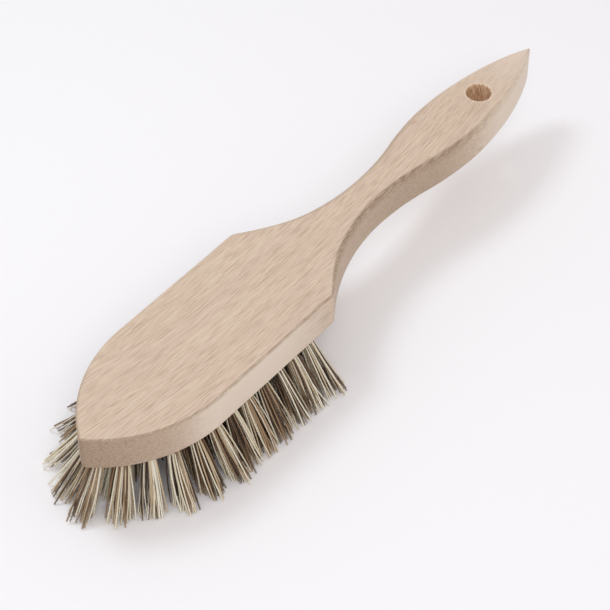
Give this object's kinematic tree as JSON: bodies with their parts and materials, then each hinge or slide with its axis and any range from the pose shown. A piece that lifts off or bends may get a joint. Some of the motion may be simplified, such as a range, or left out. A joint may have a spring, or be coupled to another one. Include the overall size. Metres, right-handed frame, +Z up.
{
  "type": "clothes brush",
  "caption": "Wooden hand brush with a pointed block, slim neck and leaf-shaped grip with a hanging hole, and fanned tufts of stiff mixed plant fibre trimmed level.",
  "frame": {"origin": "on the floor under the middle of the brush's plan box; the tuft tips stand on z = 0", "axes": "+X along the board from the pointed nose of the block to the tail of the grip, +Y to the brush's left seen from above with the handle pointing away, +Z up out of the board's top face"},
  "size_m": [0.2864, 0.0728, 0.042],
  "materials": {
    "beech": "satin",
    "plant_fibre": "matte"
  },
  "bodies": {
    "root": {"brush_body": "beech", "tuft_nose": "plant_fibre", "tuft_outer_left_01": "plant_fibre", "tuft_outer_left_02": "plant_fibre", "tuft_outer_left_03": "plant_fibre", "tuft_outer_left_04": "plant_fibre", "tuft_outer_left_05": "plant_fibre", "tuft_outer_left_06": "plant_fibre", "tuft_outer_left_07": "plant_fibre", "tuft_outer_left_08": "plant_fibre", "tuft_outer_left_09": "plant_fibre", "tuft_outer_left_10": "plant_fibre", "tuft_outer_left_11": "plant_fibre", "tuft_outer_right_01": "plant_fibre", "tuft_outer_right_02": "plant_fibre", "tuft_outer_right_03": "plant_fibre", "tuft_outer_right_04": "plant_fibre", "tuft_outer_right_05": "plant_fibre", "tuft_outer_right_06": "plant_fibre", "tuft_outer_right_07": "plant_fibre", "tuft_outer_right_08": "plant_fibre", "tuft_outer_right_09": "plant_fibre", "tuft_outer_right_10": "plant_fibre", "tuft_outer_right_11": "plant_fibre", "tuft_inner_left_01": "plant_fibre", "tuft_inner_left_02": "plant_fibre", "tuft_inner_left_03": "plant_fibre", "tuft_inner_left_04": "plant_fibre", "tuft_inner_left_05": "plant_fibre", "tuft_inner_left_06": "plant_fibre", "tuft_inner_left_07": "plant_fibre", "tuft_inner_left_08": "plant_fibre", "tuft_inner_right_01": "plant_fibre", "tuft_inner_right_02": "plant_fibre", "tuft_inner_right_03": "plant_fibre", "tuft_inner_right_04": "plant_fibre", "tuft_inner_right_05": "plant_fibre", "tuft_inner_right_06": "plant_fibre", "tuft_inner_right_07": "plant_fibre", "tuft_inner_right_08": "plant_fibre", "tuft_centre_01": "plant_fibre", "tuft_centre_02": "plant_fibre", "tuft_centre_03": "plant_fibre", "tuft_centre_04": "plant_fibre", "tuft_centre_05": "plant_fibre", "tuft_centre_06": "plant_fibre", "tuft_centre_07": "plant_fibre", "tuft_centre_08": "plant_fibre", "tuft_centre_09": "plant_fibre", "tuft_centre_10": "plant_fibre"}
  },
  "joints": []
}
